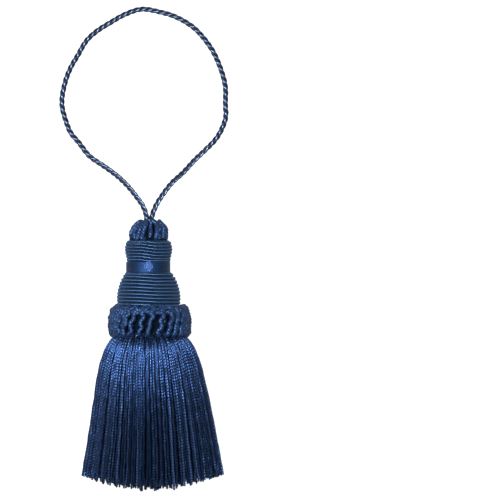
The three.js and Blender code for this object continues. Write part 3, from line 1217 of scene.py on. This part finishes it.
@dataclass(frozen=True)
class Bundle:
    """A few neighbouring ends that cling together. Sizes in millimetres."""

    # Angles of its middle and of half its width, how far it sways aside at the tips, and how far
    # it sinks in
    angle: float
    reach: float
    sway: float
    depth: float
    # Its own small differences in length, lightness and bend
    shorter: float
    tone: float
    phase: float


@dataclass
class Fringe:
    """The skirt of cut two-ply yarn ends, from the bound root to the tips. Sizes in mm."""

    root_y: float = 9.2
    # The tips' curved edge: its lowest place, and its rise at a given reach from its middle
    tip_y: float = -50.75
    arc_rise: float = 4.8
    arc_power: float = 1.9
    arc_reach: float = 24.0
    arc_middle: float = -1.0
    # How much shorter a bundle may be than the next, a bundle's outer ends than its middle ones,
    # and one end than another
    ragged: float = 0.65
    pointed: float = 0.9
    point_power: float = 1.5
    uneven: float = 0.35
    yarn_radius: float = 0.365
    # About how long an end is, which its number of rings follows from
    length: float = 62.0
    # How far the plies stand out, as a share of the radius, and how many times as far they do on
    # the ends with a painted highlight, which are spun harder
    relief: float = 0.12
    crisper: float = 1.7
    # How much the grooves between the plies slant, as a share of what their spacing gives
    slant: float = 0.7
    # How far the cut end bulges
    bulge: float = 0.15
    # Ends in a bundle, at least and at most, and how unevenly they are spaced
    bundle_sizes: tuple[int, int] = (2, 4)
    spacing_spread: float = 0.18
    # Spread of the bundles' sway at the tips, and how far in a bundle or an end may sink
    sway: float = 0.16
    depth: float = 0.10
    end_depth: float = 0.5
    # Spread of one end's lean aside, and the size and number of the bundles' long waves
    lean: float = 0.20
    wave: float = 0.16
    waves: float = 1.2
    # Ripples of one end aside and in depth: their sizes, then the share and numbers of long and
    # of short ones on the way down
    ripple_aside: float = 0.09
    ripple_depth: float = 0.10
    ripples: tuple[tuple[float, tuple[float, float]], ...] = (
        (0.65, (5.0, 8.0)),
        (0.35, (8.0, 12.0)),
    )
    # How much sooner or later than the others an end bends down from the collar
    early: float = 0.03
    # Share of their way towards their bundle's middle that ends move on the way down, and at
    # their tips
    gather: float = 0.06
    nip: float = 0.36
    # How far the last millimetres of an end turn up, at most
    kick: float = 0.3
    # Shares of the way down between which all that sets in
    early_set: float = 0.12
    ripple_set: float = 0.1
    depth_set: tuple[float, float] = (0.1, 0.6)
    cling_from: float = 0.2
    nip_from: float = 0.91
    kick_from: float = 0.92
    # Least height of a yarn's middle over the table in radii, and how softly ends come down to it
    bearing: float = 1.1
    softness: float = 0.7
    # How light the ends are, how much that differs, and how many carry a painted highlight, by how
    # much
    shade: float = 0.20
    shade_spread: float = 0.15
    bundle_spread: float = 0.07
    painted_highlight_share: float = 0.12
    painted_highlight_lift: float = 0.5
    seed: int = 11
    # Share of the way down, middle x and z, half width, and reach above and below the middle
    sections: tuple[tuple[float, ...], ...] = (
        (0.0, -1.2, 14.7, 11.7, 11.7, 11.7),
        (0.03, -1.2, 14.7, 12.3, 12.3, 12.2),
        (0.056, -1.2, 14.7, 13.7, 13.5, 13.0),
        (0.08, -1.17, 14.6, 14.85, 14.7, 13.2),
        (0.125, -1.1, 14.3, 16.4, 15.8, 13.8),
        (0.19, -1.05, 13.5, 17.75, 16.75, 13.9),
        (0.25, -1.0, 12.75, 18.8, 17.35, 14.0),
        (0.36, -0.87, 11.3, 20.12, 18.25, 13.2),
        (0.44, -0.65, 10.2, 20.95, 18.65, 12.5),
        (0.56, -0.50, 8.6, 22.1, 18.6, 11.5),
        (0.69, -0.35, 7.0, 23.3, 17.8, 10.5),
        (1.0, -0.2, 4.0, 26.25, 14.2, 9.0),
    )
    layers: tuple[FringeLayer, ...] = (
        FringeLayer("fringe_front", scale=1.0, count=68, detail=StrandDetail.FRONT),
        FringeLayer("fringe_back", scale=1.0, count=75, detail=StrandDetail.BACK),
        FringeLayer(
            "fringe_second",
            scale=0.952,
            count=120,
            detail=StrandDetail.UNDER,
            lift=0.6,
            shorter=0.9,
            painted_shade=0.12,
        ),
        FringeLayer(
            "fringe_third",
            scale=0.89,
            count=84,
            detail=StrandDetail.UNDER,
            lift=1.2,
            shorter=1.4,
            painted_shade=0.25,
        ),
        *(
            FringeLayer(
                "fringe_inner",
                scale=scale,
                count=count,
                detail=StrandDetail.INNER,
                lift=lift,
                shorter=1.7,
                painted_shade=0.22,
            )
            for scale, count, lift in (
                (0.80, 74, 2.0), (0.70, 64, 2.9), (0.59, 52, 3.8), (0.47, 40, 4.7),
                (0.35, 28, 5.5), (0.22, 18, 6.2), (0.09, 8, 6.8),
            )
        ),
    )

    def outline(self, share: Array) -> list[Array]:
        """Return the middle x and z, half width, and reach up and down at shares of the skirt."""
        table = np.array(self.sections).T
        return [eased(share, table[0], column) for column in table[1:]]

    def edge(self, x: float) -> float:
        """Return where the skirt's curved lower edge is, at a place across the tassel."""
        out = abs(x - self.arc_middle) / self.arc_reach
        return self.tip_y + self.arc_rise * out**self.arc_power

    def bundles(
        self, layer: FringeLayer, random: np.random.Generator
    ) -> list[tuple[float, Bundle]]:
        """Share a layer's ends out into bundles.

        Args:
            layer: The layer.
            random: Source of their small differences.

        Returns:
            Each end's angle, with the bundle that it clings to.
        """
        start, stop = layer.span()
        spacing = (stop - start) / layer.count
        ends: list[tuple[float, Bundle]] = []
        while len(ends) < layer.count:
            size = int(random.integers(self.bundle_sizes[0], self.bundle_sizes[1] + 1))
            size = min(size, layer.count - len(ends))
            first = start + spacing * len(ends)
            bundle = Bundle(
                angle=first + spacing * size / 2.0,
                reach=spacing * size / 2.0,
                sway=random.normal(0.0, self.sway),
                depth=random.uniform(0.0, self.depth),
                shorter=random.random(),
                tone=random.normal(0.0, self.bundle_spread),
                phase=random.random(),
            )
            for index in range(size):
                place_in = index + 0.5 + self.spacing_spread * random.normal()
                ends.append((first + spacing * place_in, bundle))
        return ends

    def ripple(self, share: Array, random: np.random.Generator, size: float) -> Array:
        """Return small waves along an end, some 5 to 12 mm long, that fade at its root.

        Args:
            share: Shares of the way down.
            random: Source of the waves' lengths and places.
            size: How high the waves are, at most.

        Returns:
            The waves' height at each share.
        """
        waves = np.zeros_like(share)
        for weight, numbers in self.ripples:
            turns = random.uniform(*numbers) * share + random.random()
            waves = waves + weight * np.sin(FULL_TURN * turns)
        return size * smooth_step(share, 0.0, self.ripple_set) * waves

    def strand(
        self, layer: FringeLayer, angle: float, bundle: Bundle, random: np.random.Generator
    ) -> Array:
        """Run one end from the root to its tip.

        Args:
            layer: Its layer.
            angle: Its place round the skirt, 0 at +X and a quarter turn at the top.
            bundle: The bundle that it clings to.
            random: Source of its own small differences.

        Returns:
            Points of its middle line.
        """
        share = np.linspace(0.0, 1.0, int(self.length * layer.detail.rings))
        early = self.early * random.normal() * smooth_step(share, 0.0, self.early_set)
        middle_x, middle_z, half, above, below = self.outline(share)
        above = self.outline(np.clip(share + early * (1.0 - share), 0.0, 1.0))[3]
        clinging = smooth_step(share, self.cling_from, 1.0)
        # Bends of the bundle, then of the end alone, long and short
        aside = bundle.sway * clinging + random.normal(0.0, self.lean) * share
        aside = aside + self.wave * share * np.sin(FULL_TURN * (self.waves * share + bundle.phase))
        aside = aside + self.ripple(share, random, self.ripple_aside)
        gathered = self.gather * clinging + self.nip * smooth_step(share, self.nip_from, 1.0)
        around = angle + gathered * (bundle.angle - angle) + aside / half
        depth = bundle.depth * smooth_step(share, *self.depth_set)
        depth = depth + self.end_depth * random.random()
        depth = depth + self.ripple(share, random, self.ripple_depth)
        scale = layer.scale - depth / half
        reach = np.where(np.sin(around) > 0.0, above, below)
        x = middle_x + half * scale * np.cos(around)
        z = middle_z + reach * scale * np.sin(around)
        floor = self.yarn_radius * self.bearing + layer.lift
        z = floor + self.softness * np.logaddexp(0.0, (z - floor) / self.softness)
        last = np.clip((share - self.kick_from) / (1.0 - self.kick_from), 0.0, 1.0)
        z = z + self.kick * random.random() * last**2
        outer = abs(angle - bundle.angle) / bundle.reach
        tip = self.edge(float(x[-1])) + self.ragged * bundle.shorter + layer.shorter
        tip = tip + self.pointed * outer**self.point_power + self.uneven * random.random()
        y = self.root_y + share * (tip - self.root_y)
        return np.stack([x, y, z], axis=1)

    def add_layer(
        self, layer: FringeLayer, random: np.random.Generator, meshes: dict[str, YarnMesh]
    ) -> None:
        """Add a layer's ends to the meshes, the front layer's as a left and a right half.

        Args:
            layer: The layer.
            random: Source of its ends' small differences.
            meshes: The meshes by their pieces' names; one that is missing is added.
        """
        # Angle round the yarn from its outside, which is the side that shows
        around = (corner_angles(layer.detail.corners) + math.pi) % FULL_TURN - math.pi
        for angle, bundle in self.bundles(layer, random):
            line = self.strand(layer, angle, bundle, random)
            along = travelled(line) + PLY_SPACING * random.random()
            # Inner layers get painted shade, as they lie in shade under the outer ones
            shade = self.shade + bundle.tone - layer.painted_shade + random.normal(0.0, self.shade_spread)
            relief = self.relief * layer.plied()
            # A painted highlight along the whole end, standing for an end that catches the light
            if random.random() < self.painted_highlight_share:
                shade = shade + self.painted_highlight_lift
                relief = relief * self.crisper
            groove = self.slant * around / 2.0 - math.pi * along[:, None] / PLY_SPACING
            radii = self.yarn_radius * (1.0 + relief * grooved(groove))
            hints = np.tile(math.copysign(1.0, math.sin(angle)) * UP, (len(line), 1))
            grid = tube(line, hints, layer.detail.corners, radii)
            grid[..., 2] = np.maximum(grid[..., 2], CLEARANCE)
            name = layer.name
            if layer.detail is StrandDetail.FRONT:
                name = name + ("_right" if math.cos(angle) > 0.0 else "_left")
            meshes.setdefault(name, YarnMesh()).add(grid, along, shade, self.bulge)

    def build(self) -> list[bpy.types.Object]:
        """Make every layer.

        Returns:
            The pieces.
        """
        random = np.random.default_rng(self.seed)
        meshes: dict[str, YarnMesh] = {}
        for layer in self.layers:
            self.add_layer(layer, random, meshes)
        made = [mesh.make(name, FRINGE_YARN.material()) for name, mesh in meshes.items()]
        return [place(piece, "fringe_yarn", "skirt") for piece in made]


@dataclass(frozen=True)
class Padding:
    """Turned padding that fills the head under its yarn, row by row as (y, radius) in mm."""

    name: str
    slot: str
    axis_x: float
    rows: Pairs
    shade: float = 0.4
    columns: int = 48

    def build(self) -> bpy.types.Object:
        """Turn the padding.

        Returns:
            The piece.
        """
        y, radii = np.array(self.rows).T
        gathered = YarnMesh()
        gathered.add(turned_surface(self.axis_x, y, radii, self.columns), y, self.shade)
        return place(gathered.make(self.name, COTTON_PADDING.material()), self.slot)


UPPER_PROFILE = (
    (42.2, 7.6), (41.1, 8.45), (39.2, 8.9), (37.4, 8.65), (35.8, 8.25), (34.1, 8.0),
)
LOWER_PROFILE = (
    (30.4, 8.35), (28.4, 9.85), (26.2, 10.85), (23.6, 11.55), (21.0, 11.85), (18.7, 11.7),
    (16.5, 11.3),
)
COLLAR_PROFILE = (
    (18.8, 12.4), (17.6, 13.9), (15.4, 14.9), (13.0, 15.35), (10.6, 15.45), (8.6, 15.25),
    (7.2, 14.8), (6.0, 13.6),
)
# The collar's ridges that the photograph shows: each one's angle in degrees from straight up
# towards +X, and how far it is sunk in between its neighbours
COLLAR_FRONT = (
    (-68.0, 0.0), (-61.5, 0.15), (-55.5, 0.0), (-49.5, 0.15), (-43.5, 0.6), (-37.0, 0.0),
    (-31.0, 2.6), (-25.5, 0.0), (-18.0, 4.0), (-11.4, 0.0), (-4.5, 4.0), (1.8, 0.0),
    (10.0, 4.0), (17.9, 0.0), (25.5, 2.6), (33.2, 0.0), (38.5, 1.7), (44.0, 0.0),
    (50.0, 1.0), (55.5, 0.0), (61.5, 0.2), (67.5, 0.0),
)
HEADING_FRONT = ((-4.0, 0.0), (3.0, 0.0))
RUFF_PROFILE = (
    (50.6, 3.5), (49.6, 4.4), (48.5, 5.3), (47.7, 6.0), (46.9, 6.6), (46.1, 6.95), (44.6, 7.25),
    (42.4, 7.35),
)
RUFF_RIDGES = (
    (-172.0, 0.0), (-148.0, 0.1), (-124.0, 0.0), (-100.0, 0.1), (-77.0, 0.0), (-54.0, 0.0),
    (-37.0, 0.1), (-19.0, 0.0), (5.0, 1.3), (28.0, 0.2), (43.0, 0.6), (58.0, 0.0),
    (81.0, 0.1), (106.0, 0.0), (132.0, 0.1), (160.0, 0.0),
)

TOP_RUFF = GimpRuche(
    name="top_ruff_looped",
    node="top_ruff",
    slot="ruff_yarn",
    axis_x=-1.4,
    ridges=RUFF_RIDGES,
    profile=RUFF_PROFILE,
    low=43.1,
    high=48.3,
    crest=1.0,
    tuck=1.0,
    lean=0.03,
    seed=5,
    rows=4,
    stray=0.25,
    uneven=0.25,
)
HEAD_UPPER = WoundBulb(
    name="head_upper",
    axis_x=-1.65,
    turns=7,
    profile=UPPER_PROFILE,
    stepped=0.6,
    seed=3,
)
HEAD_LOWER = WoundBulb(
    name="head_lower",
    axis_x=-1.6,
    turns=11,
    profile=LOWER_PROFILE,
    stepped=0.25,
    seed=4,
)
COLLAR = GimpRuche(
    name="collar_ruff_looped",
    node="collar_ruff",
    slot="collar_yarn",
    axis_x=-1.25,
    ridges=round_ridges(COLLAR_FRONT, 56),
    profile=COLLAR_PROFILE,
    low=7.4,
    high=16.6,
    crest=0.9,
    tuck=3.0,
    lean=0.0165,
    seed=8,
    rows=8,
    stray=0.18,
    uneven=0.15,
    snake=0.36,
)
# Small loops of thinner gimp that close the collar's top
COLLAR_HEADING = GimpRuche(
    name="collar_heading_looped",
    node="collar_ruff",
    slot="collar_yarn",
    axis_x=-1.25,
    ridges=round_ridges(HEADING_FRONT, 52),
    profile=COLLAR_PROFILE,
    low=15.6,
    high=17.2,
    crest=0.3,
    tuck=0.9,
    lean=0.10,
    seed=18,
    cord_radius=0.55,
    rows=3,
    stray=0.35,
    uneven=0.25,
    sunk_all=0.35,
)
PADDINGS = (
    Padding(
        name="ruff_padding",
        slot="ruff_yarn",
        axis_x=-1.45,
        rows=((41.4, 6.4), (42.6, 6.7), (43.4, 6.2), (45.0, 4.9), (47.0, 3.4), (48.0, 1.0)),
    ),
    Padding(
        name="collar_padding",
        slot="collar_yarn",
        axis_x=-1.2,
        rows=((5.5, 11.3), (7.0, 12.2), (12.0, 12.6), (16.0, 12.2), (17.6, 11.2)),
    ),
    Padding(
        name="head_padding",
        slot="winding_thread",
        axis_x=-1.7,
        rows=(
            (16.6, 9.0), (19.0, 10.4), (24.0, 10.2), (28.0, 8.6), (31.0, 7.4), (35.0, 7.2),
            (39.0, 7.6), (42.2, 6.4),
        ),
    ),
)


def tassel_pieces() -> Iterator[bpy.types.Object]:
    """Build the tassel from the loop down to the fringe.

    Yields:
        Each piece, once it is made.
    """
    yield HangingLoop().build()
    yield TOP_RUFF.build()
    yield HEAD_UPPER.build()
    yield NeckBand().build()
    yield BandKnot().build()
    yield HEAD_LOWER.build()
    yield COLLAR.build()
    yield COLLAR_HEADING.build()
    yield from (padding.build() for padding in PADDINGS)
    yield from Fringe().build()


def main() -> None:
    """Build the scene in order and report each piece."""
    logging.basicConfig(level=logging.INFO, format="%(message)s")
    boxes = {"model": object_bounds()}
    Studio().build()
    for piece in tassel_pieces():
        LOG.info("%s: %d faces", piece.name, len(piece.data.polygons))
    boxes["visual"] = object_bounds()
    {name: [list(corner) for corner in box] for name, box in boxes.items()}


if __name__ == "__main__":
    main()
